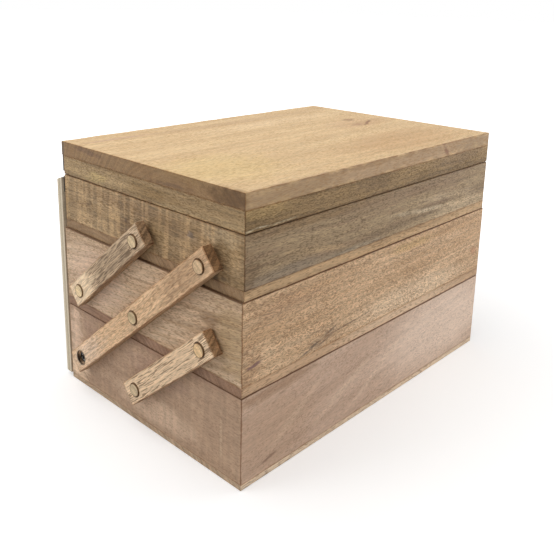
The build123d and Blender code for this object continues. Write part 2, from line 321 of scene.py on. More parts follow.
def on_end(y, z, length, height, colour, strength, turn=0, edge=0.3, fills=0.0):
    """A mark on the box's left end; turn raises its front end."""
    place = (LEFT_FACE, y, z)
    radii = (MARK_DEPTH, length, height)
    return mark(place, radii, colour, strength, (-turn, 0, 0), edge, raggedness(length), fills)


def on_arm(y, z, length, width, colour, strength, edge=0.3, fills=0.0):
    """A mark on a left arm's outer face, lying along the arm."""
    place = (LEFT_ARM_FACE, y, z)
    radii = (ARM_MARK_DEPTH, length, width)
    turn = (ARM_LEAN - 90, 0, 0)
    return mark(place, radii, colour, strength, turn, edge, raggedness(length), fills)


def under_arm(arm, length):
    """Painted shade on a left arm's lower side; length is the mark's half length."""
    middle = (PIVOTS[arm][0] + PIVOTS[arm][-1]) / 2
    lean = math.radians(ARM_LEAN)
    down = Vector((0, -math.cos(lean), -math.sin(lean))) * ARM_WIDTH / 2
    place = (LEFT_ARM_FACE + UNDER_ARM_DEPTH, middle.y + down.y, middle.z + down.z)
    radii = (MARK_DEPTH, length, 1.2)
    turn = (ARM_LEAN - 90, 0, 0)
    return mark(place, radii, tone(150, 118, 88), 0.8, turn, edge=0.4, ragged=0.1)


def disc(face, pivot, depth, radius, colour, strength, edge, ragged=0.05):
    """A round mark over a pivot, on a face across X."""
    place = (face, pivot.y, pivot.z)
    radii = (depth, radius, radius)
    return mark(place, radii, colour, strength, edge=edge, ragged=ragged)


def front_seam(wall_top, colour):
    """Painted shade in the gap between two tiers: a dark line on the front."""
    return on_front(0, wall_top + SEAM_LIFT, SEAM_REACH, 1.2, colour, 0.85, edge=0.4)


def end_seam(wall_top, colour):
    """Painted shade in the gap between two tiers: a dark line on the left end."""
    return on_end(0, wall_top + SEAM_LIFT, END_SEAM_REACH, 1.3, colour, 0.85, edge=0.4)


# --- Finishes ----------------------------------------------------------------------------------------


def grain_turn(grain, tilt=(0, 0, 0)):
    """The turn that brings a piece's grain onto X, in radians."""
    return [math.radians(a + b) for a, b in zip(GRAIN_TURN[grain], tilt)]


def from_middle(graph, node, place, turn=(0, 0, 0)):
    """Places from the middle of a piece after a turn, in mm."""
    low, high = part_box(node)
    centre = Euler(turn).to_matrix() @ ((low + high) / 2) / MM
    return graph.mapped(place, location=-centre, rotation=turn, scale=(1 / MM,) * 3)


def half_sizes(node, grain):
    """Half a piece's length along its grain and half its two other sizes, in mm."""
    low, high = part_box(node)
    size = (high - low) / MM
    if grain == "x":
        return size.x / 2, size.y / 2, size.z / 2
    if grain == "y":
        return size.y / 2, size.x / 2, size.z / 2
    lean = math.radians(ARM_LEAN)
    length = (size.y - ARM_WIDTH * math.cos(lean)) / math.sin(lean)
    return length / 2, size.x / 2, ARM_WIDTH / 2


def edge_distance(graph, node, place, grain):
    """How far a point of a block's surface is from the nearest edge, in mm."""
    local = from_middle(graph, node, place, grain_turn(grain))
    depths = [
        graph.math("SUBTRACT", size, graph.math("ABSOLUTE", graph.axis(local, name)))
        for size, name in zip(half_sizes(node, grain), "XYZ")
    ]
    # The middle one of the three: the smallest is zero on the surface
    smaller = graph.math("MINIMUM", depths[0], depths[1])
    larger = graph.math("MAXIMUM", depths[0], depths[1])
    return graph.math("MAXIMUM", smaller, graph.math("MINIMUM", larger, depths[2]))


def stretched(graph, vector, along, across, seed):
    """Coordinates that change by one over that many mm along the grain and across it."""
    shift = (seed * 1.7, seed * 2.3, seed * 3.1)
    return graph.mapped(vector, location=shift, scale=(1 / along, 1 / across, 1 / across))


def strayed(graph, vector, local, reach, along, across, seed):
    """Coordinates moved sideways by up to reach, in waves of that size along and across the grain."""
    waves = graph.noise(stretched(graph, local, along, across, seed), detail=1.0, output="Color")
    shift = graph.mapped(waves, location=(0, -reach, -reach), scale=(0, 2 * reach, 2 * reach))
    return graph.add_vectors(vector, shift)


def banded(graph, warped, seed, light, dark, band, contrast, streak):
    """The wood's ground colour: soft bands along the grain, and thin streaks if it has any."""
    streams = stretched(graph, warped, band * 14, band, seed + 1)
    bands = graph.noise(streams, detail=3.0, roughness=0.55)
    spread = 0.2 / contrast
    colour = graph.mix(graph.span(bands, 0.5 - spread, 0.5 + spread), dark, light)
    if streak:
        thin = graph.noise(stretched(graph, warped, band * 8, band / 3, seed + 8))
        colour = graph.mix(graph.span(thin, 0.5, 0.68, 0.0, 0.7), colour, streak)
    return colour


def growth_rings(graph, warped, pith, ring):
    """Noise that changes with the distance from the pith, which lies nearly along the grain."""
    across = graph.mapped(warped, location=(0, -pith[0], -pith[1]), scale=(0.02, 1, 1))
    return graph.noise_along(graph.math("DIVIDE", graph.length(across), ring))


def open_pores(graph, local, warped, seed, pores, pore_size):
    """1 in the wood's pores, which are dashes along the grain, and 0 between them."""
    dashes = graph.noise(stretched(graph, warped, *pore_size, seed + 6), detail=0.0)
    # They open where that noise passes a threshold, which is lower where they crowd
    crowds = graph.noise(stretched(graph, local, 40, 15, seed + 7), detail=1.0)
    lowered = 0.14 * pores
    threshold = graph.span(crowds, 0.35, 0.65, 0.72 - lowered, 0.63 - lowered)
    return graph.span(graph.math("SUBTRACT", dashes, threshold), 0.0, 0.07)


def grain_facing(graph, turn):
    """The cosine between a surface's normal and the grain, without its sign."""
    axis = Euler(turn).to_matrix().transposed() @ Vector((1, 0, 0))
    return graph.math("ABSOLUTE", graph.dot(graph.normal(), axis))


def marked(graph, spot, place, unevenness, shade, colour, pore_depth):
    """The wood's colour and the depth of its pores after a mark has been put into it."""
    centred = graph.mapped(
        place,
        location=[c * MM for c in spot["place"]],
        rotation=[math.radians(angle) for angle in spot["turn"]],
        scale=[r * MM for r in spot["radii"]],
        kind="TEXTURE",
    )
    ragged = graph.math("MULTIPLY", unevenness, spot["ragged"])
    reach = graph.math("ADD", graph.length(centred), ragged)
    mask = graph.span(reach, spot["edge"], 1.0, spot["strength"], 0.0)
    colour = graph.mix(mask, colour, graph.shaded(spot["colour"], shade))
    if spot["fills"]:
        left_open = graph.math("SUBTRACT", 1.0, graph.math("MULTIPLY", mask, spot["fills"]))
        pore_depth = graph.math("MULTIPLY", pore_depth, left_open)
    return colour, pore_depth


def wood(
    node,
    light,
    dark,
    pore,
    grain="x",
    tilt=(0, 0, 0),
    seed=1.0,
    band=11.0,
    contrast=1.0,
    streak=None,
    pith=(60, -90),
    ring=3.0,
    ring_depth=0.10,
    fibre_depth=0.10,
    fine_depth=0.09,
    curl=0.0,
    ripple=0.0,
    pores=0.5,
    pore_size=(4.5, 0.75),
    pore_depth=0.5,
    marks=(),
    cut_tint=(0.66, 0.62, 0.58, 1),
    cut_depth=0.12,
    side_tint=None,
    edge_tint=(0.68, 0.57, 0.47, 1),
):
    """Sanded, oiled wood for one piece.

    light, dark and pore are its colours, and streak is one for thin streaks. grain is a key of
    GRAIN_TURN, and tilt turns it further, in degrees. Each seed gives another piece of wood.
    band is the width of its colour bands and contrast how sharply they part. pith is where its
    growth rings have their middle, across the grain, and ring is their width. curl is how far short
    waves bend its grain. pores says how many there are, and pore_size how long and wide they are.
    The depths, and ripple for bars across the grain, are shares of the colour. The tints multiply
    it, on ends cut across the grain, on the other sides, and on the edges.
    """
    graph = material_graph(node)
    place = graph.place()
    turn = grain_turn(grain, tilt)
    # local has X along the straight grain, and warped follows the grain where it strays
    local = from_middle(graph, node, place, turn)
    warped = strayed(graph, local, local, GRAIN_WANDER, 110, 40, seed)
    if curl:
        warped = strayed(graph, warped, local, curl, 7, 10, seed + 5)

    rings = growth_rings(graph, warped, pith, ring)
    fibres = graph.noise(stretched(graph, warped, 14, 0.8, seed + 2), roughness=0.6)
    fine = graph.noise(stretched(graph, warped, 5, 0.7, seed + 9), detail=1.0)
    shade = graph.math("ADD", graph.swing(rings, ring_depth, 1.0), graph.swing(fibres, fibre_depth))
    shade = graph.math("ADD", shade, graph.swing(fine, fine_depth))
    if ripple:
        bars = graph.noise(stretched(graph, local, 5, 45, seed + 3), detail=1.0)
        shade = graph.math("ADD", shade, graph.span(bars, 0.38, 0.66, -ripple, ripple))
    colour = banded(graph, warped, seed, light, dark, band, contrast, streak)
    colour = graph.shaded(colour, shade)

    unevenness = graph.swing(graph.noise(stretched(graph, local, 12, 5, seed + 4)), 1.0)
    for spot in marks:
        colour, pore_depth = marked(graph, spot, place, unevenness, shade, colour, pore_depth)

    open_pore = open_pores(graph, local, warped, seed, pores, pore_size)
    facing = grain_facing(graph, turn)
    pore_depth = graph.math("MULTIPLY", pore_depth, graph.span(facing, *CUT_FACING, 1.0, CUT_PORES))
    colour = graph.mix(graph.math("MULTIPLY", open_pore, pore_depth), colour, pore)

    # Cut across the grain, the wood drinks more oil and turns darker
    saw_lines = graph.swing(graph.noise(graph.mapped(local, scale=(0.05, 0.22, 1.3))), cut_depth)
    cut_shade = graph.math("ADD", graph.swing(rings, cut_depth, 1.0), saw_lines)
    cut_colour = graph.shaded(graph.tinted(colour, cut_tint), cut_shade)
    if side_tint:
        colour = graph.tinted(colour, side_tint)
    colour = graph.mix(graph.span(facing, *CUT_FACING), colour, cut_colour)

    # Wear from handling darkens the edges, and painted shade there darkens the eased edges and the
    # mitres' gaps
    uneven = graph.math("MULTIPLY", unevenness, EDGE_UNEVENNESS)
    distance = graph.math("ADD", edge_distance(graph, node, place, grain), uneven)
    colour = graph.tinted(colour, graph.mix(graph.span(distance, *DARK_EDGE), edge_tint, WHITE))

    height = graph.math("SUBTRACT", graph.math("MULTIPLY", fibres, 0.5), open_pore)
    dull_pore = graph.math("MULTIPLY", open_pore, 0.2)
    return graph.finish(
        Base_Color=colour,
        Roughness=graph.math("ADD", graph.span(fibres, 0.2, 0.8, 0.50, 0.62), dull_pore),
        Normal=graph.bump(height, 0.3, 0.12 * MM),
        Specular_IOR_Level=0.3,
    )


def plywood(node, thin, light, dark, core):
    """Thin plywood, with a core between two plies on its edges. thin is the axis across it."""
    graph = material_graph(node)
    place = graph.place()
    local = from_middle(graph, node, place)
    bands = graph.noise(stretched(graph, local, 180, 12, 1.0), detail=3.0)
    fibres = graph.noise(stretched(graph, local, 20, 0.8, 2.0))
    end_fibres = graph.noise(stretched(graph, local, 1.0, 1.4, 3.0))
    face_colour = graph.mix(graph.span(bands, 0.3, 0.7), dark, light)

    plies = 3
    low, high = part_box(node)
    index = "XYZ".index(thin)
    depth = graph.math("SUBTRACT", graph.axis(place, thin), low[index])
    layer = graph.math("MULTIPLY", depth, plies / (high[index] - low[index]))
    outer = graph.span(graph.math("SINE", graph.math("MULTIPLY", layer, math.pi)), -0.3, 0.3)
    facing = graph.math("ABSOLUTE", graph.axis(graph.normal(), thin))
    on_edge = graph.span(facing, 0.3, 0.7, 1.0, 0.0)
    colour = graph.mix(on_edge, face_colour, graph.mix(outer, core, light))
    shade = graph.math("ADD", graph.span(fibres, 0.2, 0.8, 0.9, 1.08), graph.swing(end_fibres, 0.05))
    return graph.finish(
        Base_Color=graph.shaded(colour, shade),
        Roughness=graph.span(fibres, 0.2, 0.8, 0.6, 0.75),
        Normal=graph.bump(fibres, 0.3, 0.1 * MM),
        Specular_IOR_Level=0.25,
    )


def metal(name, base, worn, roughness, metallic):
    """Bare or blackened steel with fine scratches, blotches and paler worn places."""
    graph = material_graph(name)
    local = graph.mapped(graph.place(), scale=(1 / MM,) * 3)
    blotches = graph.noise(graph.mapped(local, scale=(0.5,) * 3), detail=3.0, roughness=0.6)
    scratches = graph.noise(stretched(graph, local, 6, 0.25, 3.0), detail=1.0)
    colour = graph.mix(graph.span(blotches, 0.45, 0.7), base, worn)
    return graph.finish(
        Base_Color=graph.mix(graph.span(scratches, 0.6, 0.75, 0.0, 0.35), colour, worn),
        Roughness=graph.span(blotches, 0.3, 0.7, roughness - 0.08, roughness + 0.12),
        Normal=graph.bump(scratches, 0.15, 0.05 * MM),
        Metallic=metallic,
    )


def paint(node, material):
    """Gives a CAD node its finish."""
    slots = NODES[node].data.materials
    slots.clear()
    slots.append(material)


# --- Boards ------------------------------------------------------------------------------------------


def rounded_ring(low, high, eases, steps):
    """Points round a rectangle with eased corners, in a board's cross section.

    low and high are its corners (v, w). eases go with the corners (low v, low w), (high v, low w),
    (high v, high w) and (low v, high w), and steps are the pieces that each side is divided into.
    """
    corners = [
        ((low[0], low[1]), (1, 1), 180),
        ((high[0], low[1]), (-1, 1), 270),
        ((high[0], high[1]), (-1, -1), 0),
        ((low[0], high[1]), (1, -1), 90),
    ]
    arcs = []
    for (corner, inwards, start), ease in zip(corners, eases):
        middle = (corner[0] + inwards[0] * ease, corner[1] + inwards[1] * ease)
        angles = [math.radians(start + 90 * i / (ARC_POINTS - 1)) for i in range(ARC_POINTS)]
        arcs.append([
            (middle[0] + ease * math.cos(angle), middle[1] + ease * math.sin(angle))
            for angle in angles
        ])
    points = []
    for i, arc in enumerate(arcs):
        points += arc
        following = arcs[(i + 1) % len(arcs)][0]
        side_steps = steps[i % 2]
        for step in range(1, side_steps):
            share = step / side_steps
            points.append(tuple(a + (b - a) * share for a, b in zip(arc[-1], following)))
    return points


def stations_along(length, end_ease, nick_places):
    """Where a board of that length has its cross sections, in mm from its low end."""
    cuts = max(2, round(length / WEAR_STEP))
    near_end = (0.0, end_ease * 0.3, end_ease)
    stations = [*near_end, *(length * i / cuts for i in range(1, cuts))]
    stations += [length - place for place in near_end]
    for nick in nick_places:
        stations = [place for place in stations if not 0 < abs(place - nick) < NICK_REACH]
        stations += [nick + offset for offset in NICK_STATIONS]
    return sorted(set(stations))


def worn_eases(eases, station, start, nicks, seed):
    """The eases of a board's long edges at one cross section: worn unevenly and deeper at nicks."""
    worn = []
    for edge, ease in enumerate(eases):
        wear = noise.noise(Vector((station / WEAR_LENGTH, edge * 9.1, seed * 3.7)))
        worn.append(ease * (0.75 + 0.7 * wear))
        for place, nicked, depth in nicks:
            if nicked == edge:
                worn[edge] += depth * math.exp(-((station + start - place) / NICK_WIDTH) ** 2)
    return worn


def cross_section(low, high, along, share, inset, eases, steps, mitre):
    """The points of a board's cross section, that share of its length from its low end, in m.

    inset is how far the sides are set back there, and the rest is as in rounded_ring and board.
    """
    other = 1 - along
    corner_low = (low[other] + inset, low.z + inset)
    corner_high = (high[other] - inset, high.z - inset)
    points = []
    for v, w in rounded_ring(corner_low, corner_high, eases, steps):
        cut_back = 0.0
        if mitre > 0:
            cut_back = high[other] - v
        elif mitre < 0:
            cut_back = v - low[other]
        point = [0.0, 0.0, w]
        point[along] = (low[along] + cut_back) * (1 - share) + (high[along] - cut_back) * share
        point[other] = v
        points.append(point)
    return points


def skin(name, rings):
    """A mesh that joins rings of points, one after the other, and is closed at both ends."""
    form = bmesh.new()
    loops = [[form.verts.new(point) for point in ring] for ring in rings]
    for first, second in zip(loops, loops[1:]):
        for i in range(len(first)):
            j = (i + 1) % len(first)
            form.faces.new((first[i], first[j], second[j], second[i]))
    form.faces.new(loops[0])
    form.faces.new(list(reversed(loops[-1])))
    bmesh.ops.recalc_face_normals(form, faces=form.faces)
    mesh = bpy.data.meshes.new(name)
    form.to_mesh(mesh)
    form.free()
    mesh.shade_smooth()
    return mesh


def board(node, along, eases, end_ease, material, mitre=0, nicks=(), seed=0.0, sag=0.0):
    """A planed board in the place of a CAD node, with edges eased and worn unevenly.

    along is the axis of its length, 0 for X and 1 for Y. mitre is the side of its outer face along
    the other axis, -1 or +1, for ends cut at 45 degrees, or 0 for square ends. eases are its long
    edges' eases, as in rounded_ring. nicks are (place along the board, edge, depth). sag is how
    much lower its underside lies.
    """
    low, high = (Vector(corner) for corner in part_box(node))
    low.z -= sag * MM
    length = high[along] - low[along]
    start = low[along] / MM
    steps = [max(1, round((high[axis] - low[axis]) / MM / WEAR_STEP)) for axis in (1 - along, 2)]
    rings = []
    for station in stations_along(length / MM, end_ease, [place - start for place, _, _ in nicks]):
        from_end = min(station, length / MM - station)
        inset = 0.0
        if from_end < end_ease:
            inset = end_ease - math.sqrt(end_ease ** 2 - (end_ease - from_end) ** 2)
        worn = worn_eases(eases, station, start, nicks, seed)
        worn = [max(SHARPEST_EDGE, ease - inset) * MM for ease in worn]
        share = station * MM / length
        rings.append(cross_section(low, high, along, share, inset * MM, worn, steps, mitre))

    mesh = skin(node + "_planed", rings)
    mesh.materials.append(material)
    piece = bpy.data.objects.new(node + "_planed", mesh)
    bpy.context.scene.collection.objects.link(piece)
    piece.modifiers.new("flat_faces", "WEIGHTED_NORMAL")
    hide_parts(node)
    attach(piece, NODES[node]["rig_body"])
    return piece


# --- The box -----------------------------------------------------------------------------------------

# Side of the box: axis of the wall's length, side of its outer face, and its grain
WALLS = {"front": (0, -1, "x"), "back": (0, 1, "x"), "left": (1, -1, "y"), "right": (1, 1, "y")}


def edges(lower, upper):
    """The eases of a board's long edges, two below and two above."""
    return (lower, lower, upper, upper)


def frame_of_walls(name, looks, eases):
    """The four mitred walls of a tier or of the lid's rim. name has a place for the side's name."""
    for seed, (side, (along, outer, grain)) in enumerate(WALLS.items()):
        node = name.format(side)
        material = wood(node, grain=grain, **looks[side])
        board(node, along, eases, MITRE_EDGE, material, mitre=outer, seed=seed)


def tray_bottom(node, light, dark, pore, seed, cut_tint, marks):
    """A tray's bottom board, whose edge shows as a band all round."""
    material = wood(
        node,
        light,
        dark,
        pore,
        seed=seed,
        cut_tint=cut_tint,
        cut_depth=0.05,
        edge_tint=(0.88, 0.84, 0.80, 1),
        marks=marks,
    )
    eases = edges(OPEN_EDGE, GLUED_EDGE)
    board(node, 0, eases, BOTTOM_END_EDGE, material, sag=TRAY_SAG)


def dress_lid_board():
    top = wood(
        "lid_board",
        tone(233, 201, 153),
        tone(219, 184, 137),
        tone(172, 132, 90),
        seed=3.0,
        band=13.0,
        pith=(-40, -60),
        ring_depth=0.04,
        fibre_depth=0.05,
        fine_depth=0.08,
        pores=0.75,
        pore_size=(3.4, 0.66),
        pore_depth=0.42,
        cut_tint=(0.38, 0.325, 0.28, 1),
        cut_depth=0.08,
        edge_tint=(0.82, 0.74, 0.66, 1),
        marks=[
            on_top(10, 79, 165, 9, tone(206, 172, 132), 0.55),
            on_top(40, 56, 130, 15, tone(242, 212, 170), 0.4),
            on_top(-110, 82, 45, 4, tone(206, 166, 142), 0.5),
            on_top(-115, -45, 60, 50, tone(230, 199, 140), 0.7),
            on_top(65, -68, 100, 40, tone(204, 163, 116), 0.65),
            on_top(98, 6, 52, 24, tone(209, 170, 128), 0.6),
            on_top(92, 0, 13, 6, tone(182, 140, 110), 0.6),
            on_top(104, 20, 10, 6, tone(160, 122, 90), 0.65),
            on_top(108, 1, 19, 2.2, tone(138, 96, 66), 0.9, turn=28, edge=0.25),
            # The three from mark() are shallow, so they hardly reach the lid's upper face
            mark((0, FRONT_FACE, 194.5), (260, 1.8, 9), tone(190, 158, 124), 0.9, edge=0.5),
            on_front(77, 194, 9, 3.2, tone(146, 100, 78), 0.8, turn=-42),
            on_front(-110, 194, 70, 10, tone(178, 147, 110), 0.7),
            mark((-8, FRONT_FACE, 198.2), (92, 1.0, 2.6), tone(170, 136, 96), 0.6),
            on_front(125, 194, 40, 9, tone(166, 138, 104), 0.6),
            mark((LEFT_FACE, 0, 199), (0.9, 170, 3.4), tone(122, 94, 66), 0.85, edge=0.5),
            on_end(-92, 195, 34, 10, tone(152, 120, 80), 0.8),
            on_end(-30, 191, 30, 2.4, tone(170, 140, 112), 0.6, turn=2),
            on_end(66, 197, 24, 3, tone(176, 142, 118), 0.6, turn=-4),
            on_end(101, 195, 2.6, 9, tone(150, 140, 126), 0.7, edge=0.6),
        ],
    )
    # Nicks in the upper edges: 2 is the back one, 3 the front one
    nicks = [(10, 2, 1.6), (82, 2, 1.2), (-64, 3, 0.7), (131, 3, 0.9)]
    eases = (GLUED_EDGE, GLUED_EDGE, LID_BACK_EDGE, LID_EDGE)
    board("lid_board", 0, eases, LID_END_EDGE, top, nicks=nicks)


def dress_lid_rim():
    olive = {"light": tone(172, 141, 98), "dark": tone(139, 112, 75), "pore": tone(88, 68, 44)}
    tan = {"light": tone(182, 154, 114), "dark": tone(153, 126, 89), "pore": tone(104, 80, 52)}
    flecked = {
        "pores": 1.0,
        "pore_depth": 0.45,
        "pore_size": (2.2, 0.62),
        "curl": 1.0,
        "fine_depth": 0.17,
    }
    looks = {
        "front": dict(olive, **flecked, seed=11.0, marks=[
            on_front(-134, 186, 34, 8, tone(194, 162, 108), 0.5),
            on_front(-145, 175.6, 8, 1.4, tone(208, 188, 152), 0.85, turn=6),
            on_front(-134, 176.2, 12, 1.1, tone(220, 202, 168), 0.9, turn=-3),
            on_front(-118, 175.6, 18, 1.0, tone(196, 174, 138), 0.8, turn=2),
            on_front(-18, 184, 30, 9, tone(132, 106, 74), 0.75),
            on_front(100, 185, 60, 7, tone(140, 114, 86), 0.5),
        ]),
        "back": dict(olive, **flecked, seed=12.0),
        "left": dict(tan, **dict(flecked, pores=0.8), seed=13.0, marks=[
            on_end(-8, 181, 44, 8, tone(134, 106, 66), 0.8),
            on_end(55, 180, 18, 6, tone(188, 164, 110), 0.5),
        ]),
        "right": dict(tan, pores=0.6, seed=14.0),
    }
    frame_of_walls("lid_{}_rail", looks, edges(LID_SEAM_EDGE, GLUED_EDGE))


def dress_top_tray():
    dense = {"pores": 0.85, "pore_size": (2.6, 0.66), "pore_depth": 0.48, "fine_depth": 0.15}
    grey = {"light": tone(182, 156, 120), "dark": tone(152, 127, 96), "pore": tone(100, 82, 64)}
    tan = {"light": tone(182, 152, 113), "dark": tone(153, 124, 86), "pore": tone(102, 78, 50)}
    looks = {
        "front": dict(grey, **dense, seed=21.0, streak=tone(154, 126, 98), marks=[
            on_front(-75, 171, 100, 5, tone(150, 120, 82), 0.7),
            on_front(-112, 140.5, 66, 8, tone(146, 130, 112), 0.6),
            on_front(-40, 139, 40, 4, tone(156, 144, 126), 0.5),
            on_front(40, 168, 120, 7, tone(152, 123, 94), 0.6),
            on_front(-76, 148, 46, 3.6, tone(196, 165, 124), 0.6, turn=-9),
            on_front(8, 157, 22, 3, tone(146, 118, 90), 0.5, turn=-6),
            on_front(28, 151.5, 34, 2.6, tone(210, 186, 152), 0.65, turn=-5),
            on_front(84, 155, 56, 4.5, tone(200, 174, 140), 0.65, turn=-2),
            on_front(60, 148.5, 36, 2.6, tone(212, 190, 158), 0.7, turn=-2),
            on_front(112, 142, 62, 12, tone(214, 187, 150), 0.8),
            on_front(-146, 150, 14, 16, tone(130, 104, 74), 0.7),
        ]),
        "back": dict(grey, seed=22.0, streak=tone(152, 126, 108)),
        "left": dict(tan, **dense, seed=23.0, ripple=0.22, marks=[
            on_end(10, 167, 90, 8, tone(148, 119, 86), 0.65),
            on_end(-82, 168, 24, 9, tone(192, 166, 130), 0.7),
            on_end(-34, 161, 24, 7, tone(140, 112, 80), 0.6),
            # Painted shadow round the upper end of the upper arm
            on_end(18, 147, 13, 14, tone(118, 90, 60), 0.8),
            on_end(76, 155.5, 21, 0.9, tone(120, 94, 68), 0.7, turn=9.3),
            on_end(20, 155, 2.6, 2.2, tone(96, 74, 54), 0.8),
            on_end(-51, 162, 5, 4, tone(116, 102, 92), 0.7),
            # Painted shadow beside the upper end of the long arm
            on_end(-71, 146, 15, 9, tone(82, 62, 40), 0.85, turn=-30),
        ]),
        "right": dict(tan, seed=24.0, ripple=0.06),
    }
    eases = edges(GLUED_EDGE, LID_SEAM_EDGE)
    frame_of_walls("top_tray_{}_wall", looks, eases)
    tray_bottom(
        "top_tray_bottom_board",
        tone(212, 177, 135),
        tone(189, 153, 112),
        tone(126, 96, 64),
        seed=25.0,
        cut_tint=(0.50, 0.47, 0.44, 1),
        marks=[on_front(-128, 135, 34, 8, tone(196, 162, 122), 0.6)],
    )


def dress_middle_tray():
    red_tan = {"light": tone(230, 195, 156), "dark": tone(204, 166, 126), "pore": tone(136, 98, 68)}
    pink_tan = {
        "light": tone(220, 192, 161),
        "dark": tone(193, 163, 131),
        "pore": tone(132, 102, 74),
    }
    curly = {
        "curl": 1.8,
        "pores": 1.0,
        "pore_depth": 0.55,
        "pore_size": (2.3, 0.62),
        "fine_depth": 0.17,
    }
    plain = {
        "tilt": (6, 0, 0),
        "pores": 0.8,
        "pore_size": (3.2, 0.66),
        "streak": tone(176, 144, 110),
    }
    looks = {
        "front": dict(red_tan, **curly, seed=31.0, marks=[
            on_front(40, 82, 120, 15, tone(250, 220, 184), 0.75),
            on_front(-143, 84, 14, 22, tone(190, 152, 116), 0.65),
            on_front(-76, 80, 24, 6, tone(174, 150, 124), 0.5, turn=14),
            on_front(-89, 76.2, 9, 1.1, tone(108, 92, 78), 0.8, turn=12),
            on_front(-80, 79.2, 11, 1.2, tone(112, 96, 80), 0.8, turn=16),
            on_front(-72, 78, 9, 1.0, tone(116, 98, 80), 0.7, turn=14),
            on_front(-64, 84, 10, 1.0, tone(112, 94, 76), 0.7, turn=18),
            on_front(-42, 82.4, 30, 0.9, tone(112, 88, 68), 0.8, turn=3),
            on_front(-139, 86, 10, 1.8, tone(118, 86, 88), 0.85, turn=8),
            on_front(139, 93, 6.5, 5, tone(194, 140, 106), 0.6),
            on_front(38, 124, 45, 5, tone(216, 180, 126), 0.6),
            on_front(-112, 118, 45, 12, tone(196, 158, 124), 0.5),
            front_seam(MIDDLE_TOP, tone(108, 74, 46)),
        ]),
        "back": dict(red_tan, seed=32.0, pores=0.7),
        "left": dict(pink_tan, **plain, seed=33.0, marks=[
            on_end(62, 100, 52, 34, tone(218, 188, 162), 0.8, fills=0.4),
            on_end(-92, 102, 26, 34, tone(176, 147, 108), 0.7),
            on_end(-72, 109, 11, 9, tone(146, 116, 86), 0.7),
            end_seam(MIDDLE_TOP, tone(96, 68, 44)),
        ]),
        "right": dict(pink_tan, seed=34.0, pores=0.6),
    }
    eases = edges(GLUED_EDGE, OPEN_EDGE)
    frame_of_walls("middle_tray_{}_wall", looks, eases)
    tray_bottom(
        "middle_tray_bottom_board",
        tone(218, 182, 146),
        tone(196, 160, 124),
        tone(134, 102, 76),
        seed=35.0,
        cut_tint=(0.46, 0.40, 0.40, 1),
        marks=[on_front(30, 70, 120, 8, tone(240, 208, 174), 0.7)],
    )


def dress_base():
    rosy = {"light": tone(226, 196, 172), "dark": tone(200, 167, 142), "pore": tone(146, 112, 92)}
    brown = {"light": tone(191, 160, 132), "dark": tone(167, 136, 110), "pore": tone(124, 96, 78)}
    smooth = {
        "band": 20.0,
        "contrast": 0.7,
        "ring": 4.5,
        "ring_depth": 0.04,
        "fibre_depth": 0.03,
        "pore_size": (2.0, 0.9),
        "pore_depth": 0.3,
    }
    looks = {
        "front": dict(rosy, **smooth, seed=41.0, tilt=(0, 5, 0), marks=[
            on_front(95, 38, 125, 52, tone(250, 224, 202), 0.8),
            on_front(-120, 30, 60, 45, tone(200, 166, 138), 0.6),
            on_front(-118, 62, 62, 7, tone(174, 138, 108), 0.75),
            front_seam(BASE_TOP, tone(112, 78, 52)),
            on_front(-98, 34, 46, 4.6, tone(228, 198, 168), 0.4, turn=32),
            on_front(-45, 31, 52, 4.4, tone(236, 208, 180), 0.4, turn=25),
            on_front(-2, 30, 50, 4.0, tone(244, 216, 190), 0.4, turn=28),
            on_front(-112, 56, 5, 1.3, tone(128, 100, 80), 0.4),
            on_front(-125, 12, 13, 1.4, tone(134, 102, 82), 0.65, turn=12),
        ]),
        "back": dict(rosy, **smooth, seed=42.0),
        "left": dict(brown, **smooth, seed=43.0, ripple=0.06, marks=[
            on_end(92, 40, 11, 40, tone(232, 200, 172), 0.75),
            on_end(92, 14, 20, 18, tone(246, 214, 180), 0.9, edge=0.2),
            on_end(-80, 40, 28, 30, tone(172, 142, 116), 0.55),
            on_end(80, 9, 11, 0.5, tone(132, 100, 76), 0.7, turn=-36, edge=0.5),
            on_end(-15, 50, 42, 14, tone(176, 144, 126), 0.45),
            on_end(-12, 18, 60, 15, tone(220, 190, 162), 0.7),
            # Painted shade along the top of the base's end, under the middle tray
            on_end(0, 65, 130, 3.6, tone(156, 123, 100), 0.65),
            on_end(70, 52, 20, 12, tone(168, 136, 116), 0.5),
            on_end(-82, 30, 1.6, 20, tone(204, 176, 146), 0.6),
            end_seam(BASE_TOP, tone(104, 72, 48)),
        ]),
        "right": dict(brown, **smooth, seed=44.0),
    }
    frame_of_walls("base_{}_wall", looks, edges(GLUED_EDGE, OPEN_EDGE))
    sheet = wood(
        "base_bottom_panel",
        tone(250, 226, 196),
        tone(234, 206, 174),
        tone(160, 128, 100),
        seed=45.0,
        cut_tint=(0.56, 0.52, 0.48, 1),
        edge_tint=(0.90, 0.86, 0.82, 1),
    )
    eases = edges(PANEL_EDGE, GLUED_EDGE)
    board("base_bottom_panel", 0, eases, PANEL_EDGE, sheet)


GAP_SHADE = tone(92, 68, 46)  # painted shade of the gaps round the plugs and round the open hole
